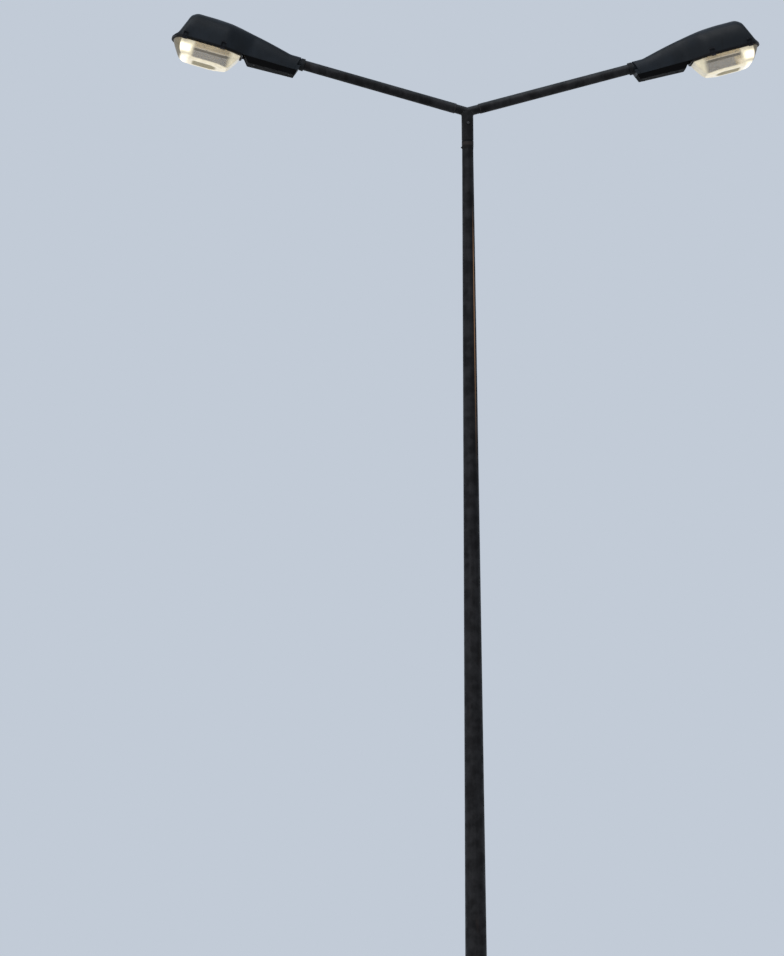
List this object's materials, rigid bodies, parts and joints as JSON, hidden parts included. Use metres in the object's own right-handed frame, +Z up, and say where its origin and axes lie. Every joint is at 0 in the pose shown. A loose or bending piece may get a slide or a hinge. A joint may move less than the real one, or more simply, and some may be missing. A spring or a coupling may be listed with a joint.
{
  "type": "twin-arm street lighting column",
  "caption": "Tall tapered steel lighting column on a bolted flange; a Y bracket on top carries an inclined arm and a road luminaire with a hinged clear bowl on each side.",
  "frame": {"origin": "centre of the base flange's underside", "axes": "+Z up the shaft, +X along the right arm's plan direction, -Y towards the service door and the pictured side"},
  "size_m": [3.5008, 0.4, 10.1633],
  "materials": {
    "galvanised_steel": "weathered hot-dip galvanised",
    "stainless_steel": "bright",
    "clamp_casting": "satin",
    "housing": "satin",
    "gear_cover": "matt",
    "bowl_frame": "satin",
    "seal_rubber": "matt",
    "clear_bowl": "clear, slightly yellowed",
    "reflector": "satin anodised",
    "lamp_glass": "lit",
    "lampholder": "matt"
  },
  "bodies": {
    "root": {"base_flange": "galvanised_steel", "lower_shaft": "galvanised_steel", "upper_shaft": "galvanised_steel", "door_frame": "galvanised_steel", "service_door": "galvanised_steel", "door_locks": "stainless_steel", "shaft_collar": "galvanised_steel", "collar_screw": "stainless_steel", "top_spigot": "galvanised_steel", "bracket_sleeve": "galvanised_steel", "bracket_screws": "stainless_steel", "bracket_head": "galvanised_steel", "left_arm": "galvanised_steel", "right_arm": "galvanised_steel", "left_arm_clamp": "clamp_casting", "left_canopy": "housing", "left_end_casting": "housing", "left_gear_cover": "gear_cover", "left_reflector": "reflector", "left_lamp": "lamp_glass", "left_lampholder": "lampholder", "left_hinge_clips": "stainless_steel", "right_arm_clamp": "clamp_casting", "right_canopy": "housing", "right_end_casting": "housing", "right_gear_cover": "gear_cover", "right_reflector": "reflector", "right_lamp": "lamp_glass", "right_lampholder": "lampholder", "right_hinge_clips": "stainless_steel"},
    "left_bowl_assembly": {"left_bowl_frame": "bowl_frame", "left_bowl_seal": "seal_rubber", "left_bowl": "clear_bowl", "left_latch_clips": "stainless_steel"},
    "right_bowl_assembly": {"right_bowl_frame": "bowl_frame", "right_bowl_seal": "seal_rubber", "right_bowl": "clear_bowl", "right_latch_clips": "stainless_steel"}
  },
  "joints": [
    {"name": "left_bowl_hinge", "type": "hinge", "parent": "root", "child": "left_bowl_assembly", "pos_m": [-1.56808, 0.136, 9.97812], "axis": [0.9632, 0, -0.2689], "range_deg": [0, 90]},
    {"name": "right_bowl_hinge", "type": "hinge", "parent": "root", "child": "right_bowl_assembly", "pos_m": [1.56808, 0.136, 9.97812], "axis": [0.9632, 0, 0.2689], "range_deg": [0, 90]}
  ]
}
